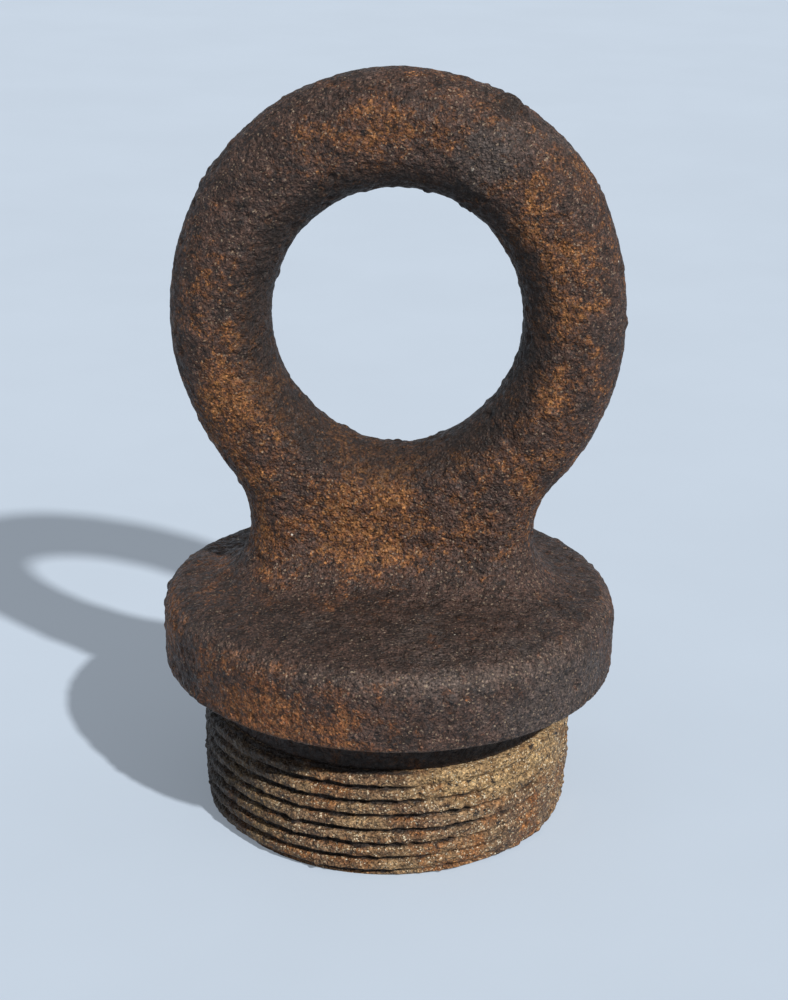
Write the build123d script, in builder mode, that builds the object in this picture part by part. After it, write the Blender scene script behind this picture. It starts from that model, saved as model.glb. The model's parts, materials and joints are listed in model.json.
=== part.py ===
"""A lifting plug: an oval forged eye on a round collar, over a short screw thread of large diameter.

Millimetres. The origin is the centre of the bottom face, +Z runs up the thread's axis to the eye,
and the hole of the eye runs along Y.
"""

import os

from build123d import *

INCH = 25.4

# Screw thread: 60 degree form of basic height, with flat crests and flat roots.
# Its turns are drawn as separate rings of the same profile, pitch and diameters.
thread_diameter = 2.0 * INCH
threads_per_inch = 12
groove_count = 6
first_groove_height = 2.9
thread_height = 15.6
lead_in_chamfer = 1.2

# Plain relief neck between the thread and the collar.
relief_diameter = 48.0
relief_height = 5.9
relief_root_radius = 0.8

# Collar: a flat seat below, a rounded top edge and a top that crowns gently towards the web.
collar_diameter = 61.4
collar_height = 10.5
collar_top_radius = 4.0
collar_seat_chamfer = 0.4
crown_rise = 2.5

# Eye and the web under it: one oval bar whose edges are rounded almost to a full round.
eye_centre_height = 69.6
eye_half_width = 29.8
eye_half_height = 32.4
hole_half_width = 16.4
hole_half_height = 17.3
bar_depth = 12.8
bar_edge_radius = 6.2
web_half_width = 19.1
web_top = 50.0
web_shoulder_radius = 10.0
web_root_radius = 7.0

thread_radius = thread_diameter / 2
thread_pitch = INCH / threads_per_inch
relief_radius = relief_diameter / 2
seat_height = thread_height + relief_height
collar_radius = collar_diameter / 2
collar_top = seat_height + collar_height
crown_top = collar_top + crown_rise
web_bottom = seat_height + collar_height / 2

# A groove is 5/8 of the sharp 60 degree V deep, between crests of P/8, and its root is P/4 wide.
sharp_height = thread_pitch * 3**0.5 / 2
root_radius = thread_radius - sharp_height * 5 / 8
half_mouth = thread_pitch * 7 / 16
half_root = thread_pitch / 8


def groove_corners(height):
    """The four corners of one groove in the thread's half section, from the bottom up."""
    return [
        (thread_radius, height - half_mouth),
        (root_radius, height - half_root),
        (root_radius, height + half_root),
        (thread_radius, height + half_mouth),
    ]


thread_outline = [(0, 0), (thread_radius - lead_in_chamfer, 0), (thread_radius, lead_in_chamfer)]
for groove in range(groove_count):
    thread_outline += groove_corners(first_groove_height + groove * thread_pitch)
thread_outline += [(thread_radius, thread_height), (0, thread_height)]

with BuildPart() as threaded_shank:
    with BuildSketch(Plane.XZ):
        with BuildLine():
            Polyline(*thread_outline, close=True)
        make_face()
    revolve(axis=Axis.Z)
threaded_shank.part.label = "threaded_shank"

# The bar on its own, from the eye down to inside the collar.
with BuildPart() as eye_bar:
    with BuildSketch(Plane.XZ):
        with Locations((0, eye_centre_height)):
            Ellipse(eye_half_width, eye_half_height)
        with Locations((0, web_bottom)):
            Rectangle(2 * web_half_width, web_top - web_bottom, align=(Align.CENTER, Align.MIN))
        with Locations((0, eye_centre_height)):
            Ellipse(hole_half_width, hole_half_height, mode=Mode.SUBTRACT)
    extrude(amount=bar_depth / 2, both=True)
    upright_edges = edges().filter_by(Axis.Y)
    shoulders = upright_edges.filter_by_position(Axis.Z, web_bottom, eye_centre_height, (False, False))
    fillet(shoulders, web_shoulder_radius)
    fillet(faces().filter_by(Axis.Y).edges(), bar_edge_radius)

# Relief neck and collar turned about the thread's axis, then the bar set into the collar's crown.
with BuildPart() as forged_eye:
    with BuildSketch(Plane.XZ):
        with BuildLine():
            Polyline(
                (0, crown_top),
                (0, thread_height),
                (relief_radius, thread_height),
                (relief_radius, seat_height),
                (collar_radius, seat_height),
                (collar_radius, collar_top),
            )
            ThreePointArc(
                (collar_radius, collar_top),
                (collar_radius / 2, collar_top + crown_rise * 3 / 4),
                (0, crown_top),
            )
        make_face()
    revolve(axis=Axis.Z)
    turned_edges = edges().filter_by(GeomType.CIRCLE)
    top_edge = turned_edges.filter_by_position(Axis.Z, collar_top, collar_top)
    seat_edges = turned_edges.filter_by_position(Axis.Z, seat_height, seat_height)
    seat_edges = seat_edges.sort_by(SortBy.RADIUS)
    fillet(top_edge, collar_top_radius)
    chamfer(seat_edges[-1], collar_seat_chamfer)
    fillet(seat_edges[0], relief_root_radius)
    add(eye_bar.part)
    fillet(edges(Select.NEW), web_root_radius)
forged_eye.part.label = "forged_eye"

os.makedirs("parts", exist_ok=True)
export_step(forged_eye.part, "parts/forged_eye.step")
export_step(threaded_shank.part, "parts/threaded_shank.step")
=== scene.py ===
import itertools
import json
import math

import bpy
import numpy as np
from mathutils import Matrix, Vector


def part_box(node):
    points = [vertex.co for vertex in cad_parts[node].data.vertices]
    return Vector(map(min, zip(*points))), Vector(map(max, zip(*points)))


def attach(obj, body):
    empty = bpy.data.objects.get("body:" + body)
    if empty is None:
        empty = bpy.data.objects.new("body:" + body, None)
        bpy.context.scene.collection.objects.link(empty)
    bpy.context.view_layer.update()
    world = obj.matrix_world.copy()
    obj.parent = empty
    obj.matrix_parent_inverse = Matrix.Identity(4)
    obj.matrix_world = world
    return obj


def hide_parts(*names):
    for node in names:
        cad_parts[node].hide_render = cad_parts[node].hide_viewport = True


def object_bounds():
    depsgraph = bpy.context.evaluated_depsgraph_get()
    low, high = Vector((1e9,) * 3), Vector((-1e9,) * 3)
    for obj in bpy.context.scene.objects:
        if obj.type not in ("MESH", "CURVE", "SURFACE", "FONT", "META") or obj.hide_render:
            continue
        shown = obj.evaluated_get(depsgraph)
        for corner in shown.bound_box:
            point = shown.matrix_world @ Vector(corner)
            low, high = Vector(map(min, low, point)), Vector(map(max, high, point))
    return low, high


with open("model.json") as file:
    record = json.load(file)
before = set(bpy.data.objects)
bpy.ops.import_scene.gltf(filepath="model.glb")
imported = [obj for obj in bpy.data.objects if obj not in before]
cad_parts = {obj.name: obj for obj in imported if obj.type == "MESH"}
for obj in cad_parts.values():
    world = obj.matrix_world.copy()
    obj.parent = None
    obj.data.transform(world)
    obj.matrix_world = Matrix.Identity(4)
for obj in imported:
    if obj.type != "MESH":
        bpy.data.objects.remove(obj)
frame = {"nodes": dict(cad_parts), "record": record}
CAD_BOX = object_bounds()

# Every size below is in millimetres in the part's frame: +Z up, the thread's bottom face at z = 0, the
# eye's hole along Y and the photo's side of the object at -Y. MM turns it into Blender's metres.
MM = 0.001
BOX_LOW, BOX_HIGH = (np.array(corner) / MM for corner in CAD_BOX)
EYE_LOW, EYE_HIGH = (np.array(corner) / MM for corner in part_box("forged_eye"))
THREAD_LOW, THREAD_HIGH = (np.array(corner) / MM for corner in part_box("threaded_shank"))
MOUNTS = {mount["name"]: np.array(mount["pos_m"]) / MM for mount in frame["record"]["mounts"]}

# ---- sizes, as in part.py ----
COLLAR_RADIUS = (EYE_HIGH[0] - EYE_LOW[0]) / 2
COLLAR_SEAT = MOUNTS["collar_seat"][2]
COLLAR_EDGE_TOP = 32.0
EYE_CENTRE = MOUNTS["eye"] * (1, 0, 1)
THREAD_RADIUS = (THREAD_HIGH[0] - THREAD_LOW[0]) / 2
THREAD_TOP = THREAD_HIGH[2]
PITCH = 25.4 / 12
GROOVE_DEPTH = 1.146
RELIEF_RADIUS = 24.0
# Not in part.py: about where the web's root ends above the collar, and about how far the middle of the
# ring's bar is from the middle of its hole.
COLLAR_TOP_END = COLLAR_EDGE_TOP + 6
RING_MIDDLE_RADIUS = 24.0


# ---- seeded noise on points ----

def gradient_noise(points, size, seed):
    """Smooth noise from about -1 to 1 at points (n, 3), with lumps about `size` across."""
    table = np.random.default_rng(seed).normal(size=(256, 3))
    table /= np.linalg.norm(table, axis=1)[:, None]
    cell = points / size + 0.37
    corner = np.floor(cell).astype(np.int64)
    part = cell - corner
    fade = part ** 3 * (part * (part * 6 - 15) + 10)
    total = np.zeros(len(points))
    for step in itertools.product((0, 1), repeat=3):
        lattice = corner + np.array(step)
        mixed = lattice[:, 0] * 73856093 ^ lattice[:, 1] * 19349663 ^ lattice[:, 2] * 83492791
        slope = table[(mixed ^ (mixed >> 9)) & 255]
        weight = np.prod(np.where(step, fade, 1 - fade), axis=1)
        total += weight * np.einsum("ij,ij->i", slope, part - step)
    return total * 1.7


def layered_noise(points, layers, seed):
    """The sum of gradient noises; layers are (size, height) pairs."""
    total = np.zeros(len(points))
    for number, (size, height) in enumerate(layers):
        total += height * gradient_noise(points, size, seed + number)
    return total


def smoothstep(low, high, values):
    share = np.clip((values - low) / (high - low), 0, 1)
    return share * share * (3 - 2 * share)


def blob(points, centre, size):
    """1 at centre, falling smoothly to 0 outside an ellipsoid of half-axes about `size`."""
    return np.exp(-(((points - np.array(centre)) / np.array(size)) ** 2).sum(1))


def add_spots(height, points, centres, sizes, heights):
    """Adds a small round bump, or a pit where its height is negative, at each centre."""
    for centre, size, rise in zip(centres, sizes, heights):
        near = np.flatnonzero(np.abs(points - centre).max(axis=1) < 2 * size)
        distance = ((points[near] - centre) ** 2).sum(1) / size ** 2
        height[near] += rise * np.exp(-distance ** 1.5)


# ---- meshes ----

def read_points(mesh):
    points = np.empty(len(mesh.vertices) * 3)
    mesh.vertices.foreach_get("co", points)
    return points.reshape(-1, 3) / MM


def read_normals(mesh):
    normals = np.empty(len(mesh.vertices) * 3, np.float32)
    mesh.vertex_normals.foreach_get("vector", normals)
    return normals.reshape(-1, 3).astype(float)


def write_points(mesh, points):
    mesh.vertices.foreach_set("co", (points * MM).astype(np.float32).ravel())
    mesh.update()


def store(mesh, name, values):
    attribute = mesh.attributes.new(name, "FLOAT", "POINT")
    attribute.data.foreach_set("value", np.asarray(values, np.float32))


def link_piece(name, mesh):
    piece = bpy.data.objects.new(name, mesh)
    bpy.context.scene.collection.objects.link(piece)
    mesh.shade_smooth()
    return piece


def even_copy(node, name, voxel, rounds):
    """A copy of a CAD node with small even faces and softened edges."""
    rough = bpy.data.objects.new(name + "_source", frame["nodes"][node].data.copy())
    bpy.context.scene.collection.objects.link(rough)
    remesh = rough.modifiers.new("even", "REMESH")
    remesh.mode = "VOXEL"
    remesh.voxel_size = voxel * MM
    soften = rough.modifiers.new("soften", "SMOOTH")
    soften.iterations = rounds
    graph = bpy.context.evaluated_depsgraph_get()
    mesh = bpy.data.meshes.new_from_object(rough.evaluated_get(graph))
    mesh.materials.clear()
    bpy.data.objects.remove(rough)
    return link_piece(name, mesh)


def circle(radius, level, turns):
    """Points at these angles on a level circle about the Z axis."""
    return np.stack([radius * np.cos(turns), radius * np.sin(turns), np.full(len(turns), level)], axis=1)


def ring_faces(count, sides):
    """Four-sided faces, facing outwards, between rings of points that are listed from the bottom up."""
    index = np.arange(count * sides).reshape(count, sides)
    after = np.roll(index, -1, axis=1)
    return np.stack([index[:-1], after[:-1], after[1:], index[1:]], axis=-1).reshape(-1, 4)


# ---- the forged eye: ring, web, collar and neck ----

EYE_VOXEL = 0.34
EYE_SOFTENING = 4
EYE_RELIEF = (
    (14.0, 0.11),
    (5.0, 0.05),
    (2.2, 0.06),
    (1.1, 0.06),
    (0.65, 0.08),
)
EYE_PITS = 650
EYE_CRUSTS = 700
SEAT_SMOOTHNESS = 0.75


def eye_place(x, y, z):
    """A point given as shares of the forged eye's box, from its lowest corner."""
    return EYE_LOW + (EYE_HIGH - EYE_LOW) * np.array((x, y, z))


def photo_patches(points):
    """How much orange rust, and how much grey-violet scale, lies at each point of the eye."""
    at = eye_place
    rust_spots = (
        (at(0.50, 0.40, 0.93), (10, 9, 4), 0.9),
        (at(0.79, 0.30, 0.83), (4, 8, 7), 0.9),
        (at(0.88, 0.30, 0.66), (4, 8, 9), 0.65),
        (at(0.14, 0.40, 0.48), (6, 8, 10), 0.9),
        (at(0.42, 0.38, 0.31), (15, 9, 9), 0.9),
        (at(0.30, 0.08, 0.10), (12, 9, 7), 1.0),
        (at(0.05, 0.35, 0.14), (5, 8, 4), 0.8),
        (at(0.70, 0.95, 0.60), (9, 7, 12), 0.8),
        (at(0.35, 0.98, 0.10), (12, 8, 6), 0.8),
        (at(0.98, 0.60, 0.08), (6, 12, 5), 0.6),
    )
    scale_spots = (
        (at(0.72, 0.40, 0.905), (7, 9, 4.5), 1.0),
        (at(0.84, 0.20, 0.12), (14, 12, 6), 1.0),
        (at(0.55, 0.08, 0.17), (14, 8, 4), 0.6),
        (at(0.20, 0.60, 0.75), (6, 8, 14), 0.5),
        (at(0.30, 0.85, 0.15), (14, 9, 6), 0.9),
        (at(0.80, 0.80, 0.40), (8, 9, 12), 0.7),
    )
    rust = 0.28 + 0.55 * layered_noise(points, ((17.0, 0.55), (6.0, 0.35), (2.5, 0.25)), 41)
    scale = 0.10 + 0.50 * layered_noise(points, ((20.0, 0.6), (8.0, 0.4), (3.0, 0.2)), 61)
    for centre, size, strength in rust_spots:
        rust += 0.55 * strength * blob(points, centre, size)
        scale -= 0.35 * strength * blob(points, centre, size)
    for centre, size, strength in scale_spots:
        scale += 0.60 * strength * blob(points, centre, size)
        rust -= 0.30 * strength * blob(points, centre, size)
    # Less rust on the collar's top: painted shade that keeps the top darker than the side.
    below_web = smoothstep(COLLAR_TOP_END, COLLAR_TOP_END - 3, points[:, 2])
    above_edge = smoothstep(COLLAR_EDGE_TOP - 1.5, COLLAR_EDGE_TOP + 0.5, points[:, 2])
    rust -= 0.20 * below_web * above_edge
    return np.clip(rust, 0, 1), np.clip(scale, 0, 1)


# Where the photo's outline stands out from or falls short of the even shape: share of the box, size, mm.
EYE_SHAPE = (
    ((0.87, 0.50, 0.85), (9, 9, 9), 0.45),
    ((0.125, 0.76, 0.172), (10, 10, 5), -0.90),
    ((0.10, 0.50, 0.447), (6, 12, 9), -0.45),
    ((0.50, 0.50, 0.425), (9, 8, 3), -0.50),
)
# The crumbly lump of rust at the ring's upper right: share of the box, size, mm.
CRUST_LUMPS = (
    ((0.702, 0.46, 0.967), 0.6, 0.5),
    ((0.713, 0.47, 0.963), 0.9, 1.0),
    ((0.721, 0.43, 0.958), 0.6, 0.8),
    ((0.733, 0.47, 0.955), 0.9, 0.9),
    ((0.729, 0.42, 0.950), 0.6, 0.8),
    ((0.749, 0.46, 0.946), 0.8, 0.7),
    ((0.744, 0.41, 0.941), 0.5, 0.6),
)


def eye_height(points):
    """How far the rusted skin stands out from the smooth forging at each point."""
    height = layered_noise(points, EYE_RELIEF, 11)
    for place, size, lift in EYE_SHAPE:
        height += lift * blob(points, eye_place(*place), size)
    seeded = np.random.default_rng(5)
    pitted = 0.25 + blob(points, eye_place(0.86, 0.25, 0.18), (10, 16, 4))
    pits = seeded.choice(len(points), EYE_PITS, replace=False, p=pitted / pitted.sum())
    crusts = seeded.choice(len(points), EYE_CRUSTS, replace=False)
    add_spots(height, points, points[pits], seeded.uniform(0.40, 0.85, len(pits)),
              -seeded.uniform(0.10, 0.36, len(pits)))
    add_spots(height, points, points[crusts], seeded.uniform(0.40, 0.80, len(crusts)),
              seeded.uniform(0.10, 0.30, len(crusts)))
    for place, size, lift in CRUST_LUMPS:
        add_spots(height, points, (eye_place(*place),), (size,), (lift,))
    return height


def make_forged_eye():
    piece = even_copy("forged_eye", "forged_eye_surface", EYE_VOXEL, EYE_SOFTENING)
    mesh = piece.data
    points = read_points(mesh)
    normals = read_normals(mesh)
    height = eye_height(points)
    seat = smoothstep(COLLAR_SEAT + 0.6, COLLAR_SEAT, points[:, 2])
    off_thread = smoothstep(EYE_LOW[2], EYE_LOW[2] + 0.8, points[:, 2])
    skin = height * (1 - SEAT_SMOOTHNESS * seat) * off_thread
    write_points(mesh, points + normals * skin[:, None])
    rust, scale = photo_patches(points)
    store(mesh, "rust", rust)
    store(mesh, "scale", scale)
    # Painted shade under the collar, in the hole and on the collar's top, and dark dirt round the crust.
    store(mesh, "painted_shade_and_grime", eye_painted_shade_and_grime(points, normals))
    # Paler collar edges: partly wear and partly a painted highlight.
    store(mesh, "wear_and_highlight", collar_wear_and_highlight(points))
    return piece


def eye_painted_shade_and_grime(points, normals):
    """Painted shade under the collar, inside the hole and a little on the collar's top, and dark dirt round
    the crumbly lump.

    Under the collar and in the hole it was set to match the photo's shaded parts, so it is partly a guess.
    """
    # Painted shade under the collar, on the hole's inner surface and on the collar's top; the dark round the
    # crust is dirt.
    under = 0.9 * smoothstep(COLLAR_SEAT + 0.4, COLLAR_SEAT - 0.4, points[:, 2])
    to_hole = EYE_CENTRE - points * (1, 0, 1)
    from_axis = np.linalg.norm(to_hole, axis=1)
    inward = np.einsum("ij,ij->i", to_hole / from_axis[:, None], normals)
    inside = 0.80 * smoothstep(0.05, 0.65, inward) * (from_axis < RING_MIDDLE_RADIUS)
    shaded_collar_top = 0.25 * smoothstep(0.75, 0.95, normals[:, 2]) * (points[:, 2] < COLLAR_TOP_END)
    crust = 0.9 * blob(points, eye_place(0.722, 0.44, 0.958), (2.6, 3.2, 1.7))
    return np.maximum(np.maximum(under, inside), np.maximum(shaded_collar_top, crust))


def collar_wear_and_highlight(points):
    """Paler metal along the collar's upper and lower edges: partly wear and partly a painted highlight,
    strongest at the front right where the light falls.
    """
    out = np.hypot(points[:, 0], points[:, 1])
    upper = np.hypot(out - COLLAR_RADIUS + 1.3, points[:, 2] - COLLAR_EDGE_TOP + 1.2)
    lower = np.hypot(out - COLLAR_RADIUS, points[:, 2] - COLLAR_SEAT - 0.1)
    lit_front_right = blob(points, eye_place(0.65, 0.05, 0.17), (16, 14, 12))
    edge = (0.30 + 0.45 * lit_front_right) * np.exp(-((upper / 1.2) ** 2))
    return np.maximum(edge, 0.9 * np.exp(-((lower / 0.35) ** 2)))


# ---- the threaded shank ----

# Angles are in radians: 0 at the right, -pi / 2 at the front, -pi at the left. The side is worked out as
# one strip that starts and ends at SEAM_TURN, at the back right.
THREAD_COLUMNS = 720
THREAD_ROWS = 120
SEAM_TURN = 0.25 * math.pi
GROOVE_AT_FRONT = 9.25
GROOVE_HALF_WIDTH = 0.68
MOST_FILL = 0.94
CREST_LOSS = 0.12
FOOT_TAPER = 0.45
FOOT_WEAR = 0.55
FOOT_ROUNDING = 0.9
GRIT_PAST_CREST = 0.25
THREAD_RELIEF = (
    (9.0, 0.10),
    (3.0, 0.06),
    (1.3, 0.06),
    (0.7, 0.09),
)
THREAD_PITS = 400
THREAD_CRUSTS = 500
# Loose flakes on the front: angle, height, size, how far they stand out.
THREAD_FLAKES = (
    (-2.02, 7.1, 0.8, 0.8),
    (-2.12, 6.4, 0.7, 0.7),
    (-1.66, 4.9, 0.9, 0.6),
    (-1.22, 6.9, 0.9, 0.5),
)
UNDERSIDE_RINGS = 14
UNDERSIDE_MIDDLE = 0.02
UNDERSIDE_DEEPEST = 1.2
NECK_OVERLAP = 0.5
CAP_LOOKS = 0.3


def round_from(turn, middle, width):
    """1 at the middle angle, falling smoothly to 0 on both sides."""
    return np.exp(-(((turn - middle) / width) ** 2))


def leftmost(turn):
    """1 at the left of the thread, falling to 0 towards the front and the back."""
    return np.exp(-((turn + math.pi) ** 4))


def groove_share(turn, height, ragged):
    """1 at the bottom of the right-hand helical groove and 0 on its crest."""
    wind = (turn + math.pi / 2) / (2 * math.pi) * PITCH
    phase = (height - GROOVE_AT_FRONT - wind) / PITCH
    away = np.abs(phase - np.round(phase)) * PITCH
    return 1 - smoothstep(0.05, GROOVE_HALF_WIDTH, away + ragged)


def open_groove(turn, height, surface):
    """How deep the groove still is: 1 where it is clean, less where grit fills it, and 0 on the crest.

    The right is filled as the photo shows. The left was set to match its shaded part, so it is a guess.
    """
    ragged = layered_noise(surface, ((2.5, 0.10), (0.8, 0.07)), 77)
    wavy = 0.16 * gradient_noise(surface, 6.0, 79)
    patchy = layered_noise(surface, ((7.0, 0.6), (2.5, 0.5)), 81)
    rightward = smoothstep(-2.1, -0.9, turn) * smoothstep(0.7, -0.1, turn)
    fill = 0.06 + 0.40 * rightward + 0.55 * patchy
    fill += 0.45 * round_from(turn, -0.35, 0.55) + 0.28 * leftmost(turn)
    return groove_share(turn, height + wavy, ragged) * (1 - np.clip(fill, 0, MOST_FILL))


def thread_grit(surface):
    """The small relief on the thread: waves, pits, crusts and a few loose flakes."""
    grit = layered_noise(surface, THREAD_RELIEF, 91)
    seeded = np.random.default_rng(17)
    picked = seeded.choice(len(surface), THREAD_PITS + THREAD_CRUSTS, replace=False)
    pits = surface[picked[:THREAD_PITS]]
    crusts = surface[picked[THREAD_PITS:]]
    add_spots(grit, surface, pits, seeded.uniform(0.35, 0.8, len(pits)),
              -seeded.uniform(0.1, 0.35, len(pits)))
    add_spots(grit, surface, crusts, seeded.uniform(0.30, 0.6, len(crusts)),
              seeded.uniform(0.1, 0.32, len(crusts)))
    for turn, level, size, lift in THREAD_FLAKES:
        centres = circle(THREAD_RADIUS, level, np.array((turn,)))
        add_spots(grit, surface, centres, (size,), (lift,))
    return grit


def thread_radius(turn, height, surface, groove):
    """How far out the thread's side stands, worn most at the lower right of the front."""
    worn_and_highlit = smoothstep(7.0, 0.0, height) * round_from(turn, -0.75, 0.6)
    radius = THREAD_RADIUS - CREST_LOSS - FOOT_TAPER * smoothstep(5.0, 0.0, height) - FOOT_WEAR * worn_and_highlit
    radius -= GROOVE_DEPTH * groove
    radius -= FOOT_ROUNDING * smoothstep(0.9, 0.0, height) ** 2
    radius += thread_grit(surface) * smoothstep(0.0, 0.5, height)
    return np.minimum(radius, THREAD_RADIUS + GRIT_PAST_CREST)


def thread_painted_shade(turn, height):
    """Painted shade at the left and a painted shadow of the collar in a band under it, reaching lower
    towards the left.

    It was set to match the photo's shaded parts, so it is partly a guess.
    """
    lit_from = THREAD_TOP + 0.6 - 7.5 * smoothstep(-1.75, -2.45, turn)
    collar_shadow = 0.80 * smoothstep(lit_from - 0.6, lit_from + 0.9, height)
    collar_shadow *= smoothstep(-1.2, -1.7, turn) * smoothstep(-4.6, -3.6, turn)
    return np.maximum(0.98 * leftmost(turn), collar_shadow)


def thread_looks(turn, height, surface, groove):
    """The attributes that the thread's material reads."""
    low_right = smoothstep(9.0, 2.0, height) * round_from(turn, -0.7, 0.5)
    high_right = smoothstep(8.0, 13.0, height) * round_from(turn, -0.75, 0.5)
    rust = 0.28 + 0.60 * layered_noise(surface, ((7.0, 0.7), (2.2, 0.5)), 85)
    rust += 0.16 * low_right - 0.3 * high_right + 0.30 * groove
    gold = 0.22 + 0.5 * layered_noise(surface, ((9.0, 0.8),), 87)
    gold += 0.7 * high_right - 0.15 * low_right
    # The painted shade and painted collar shadow go in with the other attributes.
    return {"rust": rust, "gold": gold, "groove": groove, "painted_shade_and_grime": thread_painted_shade(turn, height)}


def underside_rings(lowest):
    """Rings of the slightly hollowed underside, from its middle out towards the side's lowest ring."""
    rings = []
    for share in np.linspace(1, UNDERSIDE_MIDDLE, UNDERSIDE_RINGS + 1)[:0:-1]:
        ring = lowest * np.array((share, share, 0))
        lift = layered_noise(ring, ((11.0, 0.5), (3.0, 0.25)), 71)
        ring[:, 2] = np.clip(0.25 + 0.5 * lift, 0, UNDERSIDE_DEEPEST)
        rings.append(ring)
    return rings


def hidden_top_rings(turns):
    """Rings that close the shank above the thread, out of sight inside the forged eye's neck."""
    inner = RELIEF_RADIUS - 0.9
    return [
        circle(inner, THREAD_TOP, turns),
        circle(inner - 0.2, THREAD_TOP + NECK_OVERLAP, turns),
        circle(0.4, THREAD_TOP + NECK_OVERLAP, turns),
    ]


def make_threaded_shank():
    turns = np.linspace(0, 2 * math.pi, THREAD_COLUMNS, endpoint=False)
    turn = np.tile(np.where(turns > SEAM_TURN, turns - 2 * math.pi, turns), THREAD_ROWS)
    height = np.repeat(np.linspace(0, THREAD_TOP, THREAD_ROWS), THREAD_COLUMNS)
    surface = np.stack([THREAD_RADIUS * np.cos(turn), THREAD_RADIUS * np.sin(turn), height], axis=1)
    groove = open_groove(turn, height, surface)
    radius = thread_radius(turn, height, surface, groove)
    side = np.stack([radius * np.cos(turn), radius * np.sin(turn), height], axis=1)

    lower = underside_rings(side[:THREAD_COLUMNS])
    upper = hidden_top_rings(turns)
    points = np.concatenate([*lower, side, *upper])
    faces = ring_faces(len(points) // THREAD_COLUMNS, THREAD_COLUMNS).tolist()
    first_ring = np.arange(THREAD_COLUMNS)
    last_ring = first_ring + len(points) - THREAD_COLUMNS
    faces.append(first_ring[::-1].tolist())
    faces.append(last_ring.tolist())
    mesh = bpy.data.meshes.new("threaded_shank_surface")
    mesh.from_pydata((points * MM).tolist(), [], faces)
    mesh.validate()
    piece = link_piece("threaded_shank_surface", mesh)

    caps = (len(lower) * THREAD_COLUMNS, len(upper) * THREAD_COLUMNS)
    for name, values in thread_looks(turn, height, surface, groove).items():
        store(mesh, name, np.clip(np.pad(values, caps, constant_values=CAP_LOOKS), 0, 1))
    return piece


# ---- materials ----

class Tree:
    """A short way to write a material's nodes."""

    def __init__(self, name):
        self.material = bpy.data.materials.new(name)
        self.material.use_nodes = True
        self.tree = self.material.node_tree
        self.shader = self.tree.nodes["Principled BSDF"]
        place = self.add("ShaderNodeTexCoord").outputs["Object"]
        self.place = self.scaled(place, 1 / MM)

    def add(self, kind, inputs=None, **settings):
        node = self.tree.nodes.new(kind)
        for name, value in settings.items():
            setattr(node, name, value)
        for name, value in (inputs or {}).items():
            if isinstance(value, bpy.types.NodeSocket):
                self.tree.links.new(value, node.inputs[name])
            else:
                node.inputs[name].default_value = value
        return node

    def attribute(self, name):
        return self.add("ShaderNodeAttribute", attribute_name=name).outputs["Fac"]

    def scaled(self, vector, factor):
        return self.add("ShaderNodeVectorMath", {0: vector, "Scale": factor}, operation="SCALE").outputs[0]

    def moved(self, *way):
        """The place moved by this much, so that textures of one kind don't line up."""
        return self.add("ShaderNodeVectorMath", {0: self.place, 1: way}).outputs[0]

    def noise(self, size, detail=4.0, rough=0.6, warp=0.0, shift=0.0):
        place = self.moved(shift, shift * 1.7, -shift) if shift else self.place
        inputs = {"Vector": place, "Scale": 1 / size}
        inputs |= {"Detail": detail, "Roughness": rough, "Distortion": warp}
        return self.add("ShaderNodeTexNoise", inputs).outputs["Fac"]

    def cells(self, size, shift=0.0):
        """Grains about `size` across: the distance from each one's middle, and two random numbers each."""
        place = self.moved(shift, -shift, shift * 1.3) if shift else self.place
        waves = {"Vector": place, "Scale": 1.6 / size, "Detail": 2.0}
        ragged = self.add("ShaderNodeTexNoise", waves).outputs["Color"]
        pushed = {0: ragged, 1: (size * 0.9,) * 3, 2: place}
        place = self.add("ShaderNodeVectorMath", pushed, operation="MULTIPLY_ADD").outputs[0]
        node = self.add("ShaderNodeTexVoronoi", {"Vector": place, "Scale": 1 / size})
        split = self.add("ShaderNodeSeparateColor", {0: node.outputs["Color"]})
        return node.outputs["Distance"], split.outputs[0], split.outputs[1]

    def ramp(self, value, low, high, start=0.0, end=1.0):
        inputs = {"Value": value, "From Min": low, "From Max": high, "To Min": start, "To Max": end}
        return self.add("ShaderNodeMapRange", inputs, interpolation_type="SMOOTHSTEP").outputs["Result"]

    def math(self, operation, first, second, third=0.0):
        return self.add("ShaderNodeMath", {0: first, 1: second, 2: third}, operation=operation).outputs[0]

    def mix(self, share, first, second):
        return self.add("ShaderNodeMix", {0: share, 6: first, 7: second}, data_type="RGBA").outputs[2]

    def bump(self, height, strength, depth, normal=None):
        inputs = {"Height": height, "Strength": strength, "Distance": depth * MM}
        if normal:
            inputs["Normal"] = normal
        return self.add("ShaderNodeBump", inputs).outputs["Normal"]

    def finish(self, colour, roughness, normal, specular):
        self.tree.links.new(colour, self.shader.inputs["Base Color"])
        self.tree.links.new(roughness, self.shader.inputs["Roughness"])
        self.tree.links.new(normal, self.shader.inputs["Normal"])
        self.shader.inputs["Specular IOR Level"].default_value = specular
        return self.material


def tone(red, green, blue):
    """A colour as seen on screen, 0 to 255, in the linear light that shaders use."""
    def linear(value):
        share = value / 255
        return share / 12.92 if share <= 0.04045 else ((share + 0.055) / 1.055) ** 2.4
    return (linear(red), linear(green), linear(blue), 1.0)


# The dark tone for pores and for painted shade.
PORE_AND_SHADE_TONE = tone(24, 18, 15)


def grey_scale(t, ground):
    """Grey-violet scale over the bare ground, with ragged edges."""
    edge = t.math("MULTIPLY_ADD", t.noise(1.6, 5.0, 0.7, shift=9.0), 0.7, t.attribute("scale"))
    return t.mix(t.math("MULTIPLY", t.ramp(edge, 0.60, 0.95), 0.75), ground, tone(86, 76, 72))


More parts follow.
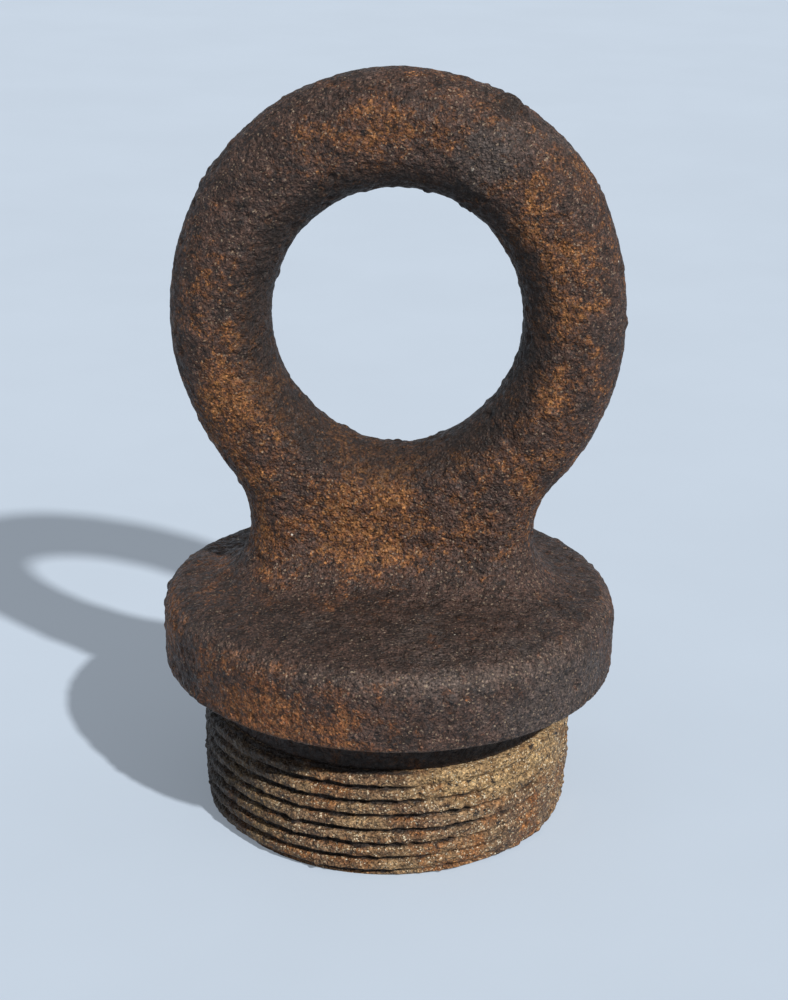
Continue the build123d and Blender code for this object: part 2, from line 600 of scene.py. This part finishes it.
def amber_rust(t, coat, tint):
    """Amber rust in soft ragged patches, thicker where the rust attribute is high."""
    net = t.noise(1.5, 5.0, 0.74, 0.9, 3.0)
    wide = t.noise(3.4, 4.0, 0.65, 0.6, 12.0)
    spread = t.math("MULTIPLY_ADD", wide, 0.9, t.math("MULTIPLY", net, 1.2))
    patch = t.math("MULTIPLY_ADD", t.attribute("rust"), 0.60, spread)
    washed = t.mix(t.math("MULTIPLY", t.ramp(patch, 1.16, 1.46), 0.70), coat, tone(94, 59, 39))
    chosen = t.ramp(t.math("MULTIPLY_ADD", tint, 0.24, patch), 1.46, 1.68)
    varied = t.ramp(t.noise(0.8, 4.0, 0.7, shift=30.0), 0.35, 0.65)
    low_amber = t.mix(varied, tone(112, 67, 40), tone(152, 102, 62))
    high_amber = t.mix(varied, tone(120, 74, 43), tone(159, 110, 64))
    level = t.add("ShaderNodeSeparateXYZ", {0: t.place}).outputs["Z"]
    amber = t.mix(t.ramp(level, COLLAR_EDGE_TOP, COLLAR_TOP_END), low_amber, high_amber)
    return t.mix(t.math("MULTIPLY", chosen, 0.92), washed, amber)


def glints(t, shaded, dark):
    """Painted glints: fine bright grains where the surface isn't dark, and a few larger pale specks."""
    _, fine_pick, fine_tint = t.cells(0.20, shift=5.0)
    fine = t.math("MULTIPLY", t.ramp(fine_pick, 0.945, 0.975), t.math("SUBTRACT", 1.0, dark))
    glint = t.mix(fine_tint, tone(140, 112, 90), tone(210, 188, 160))
    speckled = t.mix(t.math("MULTIPLY", fine, 0.42), shaded, glint)
    speck_far, speck_pick, _ = t.cells(2.4, shift=2.0)
    speck = t.math("MULTIPLY", t.ramp(speck_pick, 0.975, 0.98), t.ramp(speck_far, 0.11, 0.07))
    return t.mix(speck, speckled, tone(214, 206, 192))


def rusted_forging():
    t = Tree("rusted_forging")
    clouds = t.ramp(t.noise(3.2, 7.0, 0.75, 0.5), 0.36, 0.66)
    ground = t.mix(clouds, tone(51, 37, 31), tone(90, 68, 59))
    _, pick, tint = t.cells(0.25)
    rusty = amber_rust(t, grey_scale(t, ground), tint)
    # Paler collar edges, partly wear and partly a painted highlight.
    patchy_edge = t.ramp(t.noise(2.0, 5.0, 0.7, shift=17.0), 0.35, 0.6)
    worn_and_highlit = t.mix(t.math("MULTIPLY", t.attribute("wear_and_highlight"), patchy_edge), rusty, tone(114, 100, 92))

    # Every grain has its own lightness, and the gaps between grains are dark.
    gaps = t.noise(0.34, 1.5, 0.6, 0.3, 7.0)
    bright = t.math("MULTIPLY_ADD", t.math("POWER", pick, 4.0), 1.1, 0.72)
    grained = t.scaled(worn_and_highlit, t.math("MULTIPLY", t.ramp(gaps, 0.32, 0.64, 0.38, 1.28), bright))

    pores = t.ramp(t.noise(0.95, 3.0, 0.6, 0.5, 8.0), 0.42, 0.32)
    # Pores, dirt and painted shade darken the colour towards one dark tone.
    dark = t.math("MAXIMUM", pores, t.attribute("painted_shade_and_grime"))
    colour = glints(t, t.mix(t.math("MULTIPLY", dark, 0.82), grained, PORE_AND_SHADE_TONE), dark)

    roughness = t.ramp(t.noise(0.8, 3.0, shift=1.0), 0.3, 0.7, 0.50, 0.88)
    coarse = t.bump(t.noise(1.05, 2.0, 0.55, shift=6.0), 1.0, 0.75)
    normal = t.bump(t.math("MULTIPLY_ADD", pick, 0.12, gaps), 1.0, 0.30, coarse)
    return t.finish(colour, roughness, normal, 0.45)


def gritty_coat(t):
    """The thread's brown and golden grit with orange rust over it."""
    clouds = t.ramp(t.noise(2.4, 7.0, 0.76, 0.4), 0.34, 0.66)
    ground = t.mix(clouds, tone(86, 61, 45), tone(150, 121, 92))
    golden = t.mix(clouds, tone(142, 108, 68), tone(208, 176, 126))
    coat = t.mix(t.attribute("gold"), ground, golden)
    ragged = t.math("MULTIPLY", t.noise(1.3, 6.0, 0.8, 0.5, 3.0), 0.9)
    orange = t.ramp(t.math("MULTIPLY_ADD", t.attribute("rust"), 0.9, ragged), 0.66, 1.10)
    varied = t.ramp(t.noise(0.8, 4.0, 0.7, shift=30.0), 0.35, 0.65)
    orange_tone = t.mix(varied, tone(112, 69, 38), tone(160, 107, 58))
    return t.mix(t.math("MULTIPLY", orange, 0.85), coat, orange_tone)


def sparkles(t, shaded, hollow_and_painted_shade):
    """Painted glints on bright crystals, gathered in places, and none in hollows or painted shade."""
    _, fine_pick, fine_tint = t.cells(0.18, shift=5.0)
    places = t.ramp(t.noise(2.0, 3.0, 0.6, shift=40.0), 0.42, 0.60)
    gathered = t.math("MULTIPLY_ADD", places, 0.10, fine_pick)
    sparkle = t.math("MULTIPLY", t.ramp(gathered, 0.93, 0.98), t.math("SUBTRACT", 1.0, hollow_and_painted_shade))
    sparkle_tone = t.mix(fine_tint, tone(176, 148, 104), tone(252, 240, 212))
    return t.mix(t.math("MULTIPLY", sparkle, 0.82), shaded, sparkle_tone)


def gritty_thread():
    t = Tree("gritty_thread")
    _, pick, _ = t.cells(0.27)
    gaps = t.noise(0.38, 1.5, 0.6, 0.3, 7.0)
    bright = t.math("MULTIPLY_ADD", t.math("POWER", pick, 3.0), 1.0, 0.76)
    lightness = t.math("MULTIPLY", t.ramp(gaps, 0.32, 0.64, 0.46, 1.30), bright)
    grained = t.scaled(gritty_coat(t), lightness)

    groove_edge = t.math("MULTIPLY_ADD", t.noise(0.9, 3.0, shift=8.0), 0.3, t.attribute("groove"))
    deep = t.ramp(groove_edge, 0.45, 0.85)
    pores = t.ramp(t.noise(0.95, 3.0, 0.6, 0.5, 18.0), 0.42, 0.32)
    # Dirt in the grooves, pores and painted shade darken the colour towards one dark tone.
    hollow_and_painted_shade = t.math("MAXIMUM", t.math("MAXIMUM", deep, t.attribute("painted_shade_and_grime")), pores)
    colour = sparkles(t, t.mix(t.math("MULTIPLY", hollow_and_painted_shade, 0.93), grained, PORE_AND_SHADE_TONE), hollow_and_painted_shade)

    roughness = t.ramp(t.noise(0.6, 3.0, shift=1.0), 0.3, 0.7, 0.45, 0.88)
    coarse = t.bump(t.noise(0.90, 2.0, 0.55, shift=6.0), 1.0, 0.75)
    normal = t.bump(t.math("MULTIPLY_ADD", pick, 0.15, gaps), 1.0, 0.42, coarse)
    return t.finish(colour, roughness, normal, 0.50)


FLOOR_GLOW = 0.38


def paper(name, shade):
    """A plain pale surface with a faint even tooth, which gives off a little light of its own."""
    t = Tree(name)
    mottle = t.ramp(t.noise(60.0, 3.0), 0.3, 0.7)
    darker = tuple(channel * 0.965 for channel in shade[:3]) + (1.0,)
    colour = t.mix(mottle, darker, shade)
    roughness = t.ramp(mottle, 0, 1, 0.85, 0.95)
    normal = t.bump(t.noise(3.0, 4.0), 0.2, 0.05)
    t.shader.inputs["Emission Color"].default_value = shade
    t.shader.inputs["Emission Strength"].default_value = FLOOR_GLOW
    return t.finish(colour, roughness, normal, 0.1)


# ---- the pieces in the frame ----

forged_eye = make_forged_eye()
forged_eye.data.materials.append(rusted_forging())
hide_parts("forged_eye")
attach(forged_eye, "root")

threaded_shank = make_threaded_shank()
threaded_shank.data.materials.append(gritty_thread())
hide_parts("threaded_shank")
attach(threaded_shank, "root")


# ---- floor, backdrop and light ----

FLOOR_RADIUS = 1000.0
SWEEP_RADIUS = 400.0
WALL_HEIGHT = 900.0
STAGE_SIDES = 96
SWEEP_STEPS = 24


def stage_piece(name, profile, material):
    """A surface turned about the Z axis, from (radius, height above the floor) points going outwards."""
    turns = np.linspace(0, 2 * math.pi, STAGE_SIDES, endpoint=False)
    rings = [circle(radius, BOX_LOW[2] + level, turns) for radius, level in profile]
    faces = ring_faces(len(rings), STAGE_SIDES)[:, ::-1].tolist()
    if len(rings) == 1:
        faces = [list(range(STAGE_SIDES))]
    mesh = bpy.data.meshes.new(name)
    mesh.from_pydata((np.concatenate(rings) * MM).tolist(), [], faces)
    mesh.materials.append(material)
    piece = link_piece(name, mesh)
    # The stage's own bounce is left out, so the shaded side stays as dark as in the photo.
    piece.visible_diffuse = False
    return piece


def make_stage():
    """A round pale floor that curves up into a low wall all round, well outside the object's shadow."""
    pale = paper("pale_paper", tone(176, 188, 202))
    stage_piece("floor", [(FLOOR_RADIUS, 0.0)], pale)
    profile = []
    for step in range(SWEEP_STEPS + 1):
        angle = math.pi / 2 * step / SWEEP_STEPS
        outward = FLOOR_RADIUS + SWEEP_RADIUS * math.sin(angle)
        profile.append((outward, SWEEP_RADIUS * (1 - math.cos(angle))))
    profile.append((FLOOR_RADIUS + SWEEP_RADIUS, WALL_HEIGHT))
    backdrop = stage_piece("backdrop", profile, pale)
    # The wall keeps no light off the floor.
    backdrop.visible_shadow = False


SUN_SIDE, SUN_FRONT = 0.67, -0.93
SUN_STRENGTH = 3.5
SUN_ANGLE = 2.0
SUN_TINT = (1.0, 0.985, 0.96)
WORLD_STRENGTH = 0.24


def make_light():
    """One key light from the front right, about 40 degrees up, with an even fill from all round."""
    light = bpy.data.lights.new("key", "SUN")
    light.energy = SUN_STRENGTH
    light.angle = math.radians(SUN_ANGLE)
    light.color = SUN_TINT
    key = bpy.data.objects.new("key", light)
    bpy.context.scene.collection.objects.link(key)
    key.rotation_mode = "QUATERNION"
    key.rotation_quaternion = Vector((-SUN_SIDE, -SUN_FRONT, -1)).to_track_quat("-Z", "Y")
    world = bpy.data.worlds.new("studio")
    world.use_nodes = True
    background = world.node_tree.nodes["Background"]
    background.inputs["Color"].default_value = (1.0, 1.0, 1.0, 1.0)
    background.inputs["Strength"].default_value = WORLD_STRENGTH
    bpy.context.scene.world = world


# ---- camera ----

SENSOR_WIDTH = 36.0
CAMERA_LENS = 76.79
CAMERA_PITCH = 21.424
CAMERA_SIDE = 2.467
CAMERA_ROLL = 1.452
CAMERA_DISTANCE = 287.7
AIM_RIGHT = 0.21
AIM_HEIGHT = 43.79


def make_camera():
    data = bpy.data.cameras.new("camera")
    data.lens = CAMERA_LENS
    data.sensor_width = SENSOR_WIDTH
    data.clip_start = 10 * MM
    data.clip_end = 20000 * MM
    camera = bpy.data.objects.new("camera", data)
    bpy.context.scene.collection.objects.link(camera)
    pitch, side, roll = (math.radians(a) for a in (CAMERA_PITCH, CAMERA_SIDE, CAMERA_ROLL))
    back = Vector((math.sin(side) * math.cos(pitch), -math.cos(side) * math.cos(pitch), math.sin(pitch)))
    level_right = (-back).cross(Vector((0, 0, 1))).normalized()
    level_up = level_right.cross(-back)
    right = math.cos(roll) * level_right + math.sin(roll) * level_up
    up = math.cos(roll) * level_up - math.sin(roll) * level_right
    centre = (Vector(BOX_LOW) + Vector(BOX_HIGH)) / 2
    aim = Vector((centre.x, centre.y, BOX_LOW[2] + AIM_HEIGHT)) + level_right * AIM_RIGHT
    place = (aim + back * CAMERA_DISTANCE) * MM
    turn = Matrix((right, up, back)).transposed().to_4x4()
    camera.matrix_world = Matrix.Translation(place) @ turn
    bpy.context.scene.camera = camera


make_stage()
make_light()
make_camera()
bpy.context.scene.view_settings.view_transform = "Standard"
bpy.context.scene.view_settings.look = "None"
